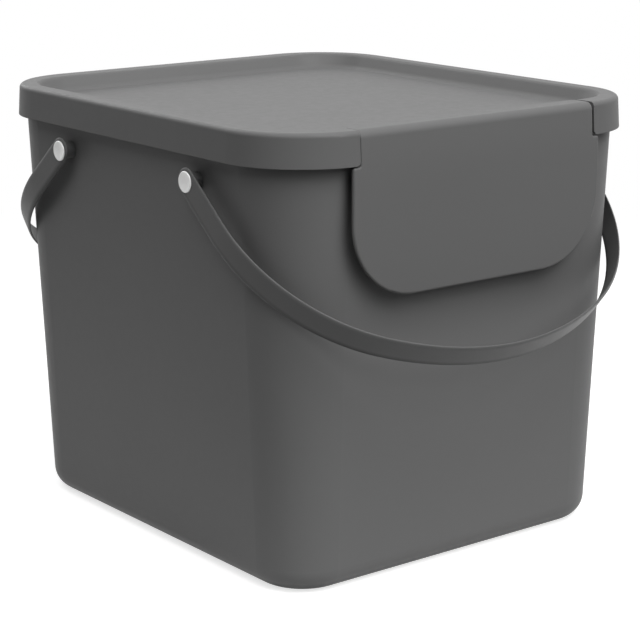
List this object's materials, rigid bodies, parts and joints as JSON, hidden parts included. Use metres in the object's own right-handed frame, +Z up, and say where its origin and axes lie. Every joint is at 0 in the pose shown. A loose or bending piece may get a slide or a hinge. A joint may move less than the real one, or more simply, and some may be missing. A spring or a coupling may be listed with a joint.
{
  "type": "waste bin",
  "caption": "Tapered stackable kitchen waste bin with a lift-off tray lid, a hinged front feed flap and swinging strap handles.",
  "frame": {"origin": "middle of the base, on the surface that the bin stands on", "axes": "+Z up, -Y out of the front that carries the flap, +X to the right seen from the front"},
  "size_m": [0.363, 0.483, 0.34],
  "materials": {
    "grey_plastic": "fine satin grain, anthracite grey",
    "white_plastic": "satin white",
    "washer_plastic": "natural pale plastic"
  },
  "bodies": {
    "bin": {"bin_body": "grey_plastic", "rivet_front_left": "white_plastic", "rivet_front_right": "white_plastic", "rivet_rear_left": "white_plastic", "rivet_rear_right": "white_plastic", "washer_front_left": "washer_plastic", "washer_front_right": "washer_plastic", "washer_rear_left": "washer_plastic", "washer_rear_right": "washer_plastic"},
    "lid": {"lid": "grey_plastic"},
    "flap": {"flap": "grey_plastic"},
    "front_handle": {"front_handle": "grey_plastic"},
    "rear_handle": {"rear_handle": "grey_plastic"}
  },
  "joints": [
    {"name": "lid_lift", "type": "slide", "parent": "bin", "child": "lid", "axis": [0, 0, 1], "range_m": [0, 0.25]},
    {"name": "flap_hinge", "type": "hinge", "parent": "lid", "child": "flap", "pos_m": [0, -0.1885, 0.3364], "axis": [-1, 0, 0], "range_deg": [0, 105]},
    {"name": "front_handle_pivot", "type": "hinge", "parent": "bin", "child": "front_handle", "pos_m": [0, -0.0864, 0.2964], "axis": [-1, 0, 0], "range_deg": [-3, 152]},
    {"name": "rear_handle_pivot", "type": "hinge", "parent": "bin", "child": "rear_handle", "pos_m": [0, 0.0864, 0.2964], "axis": [1, 0, 0], "range_deg": [-3, 152]}
  ]
}
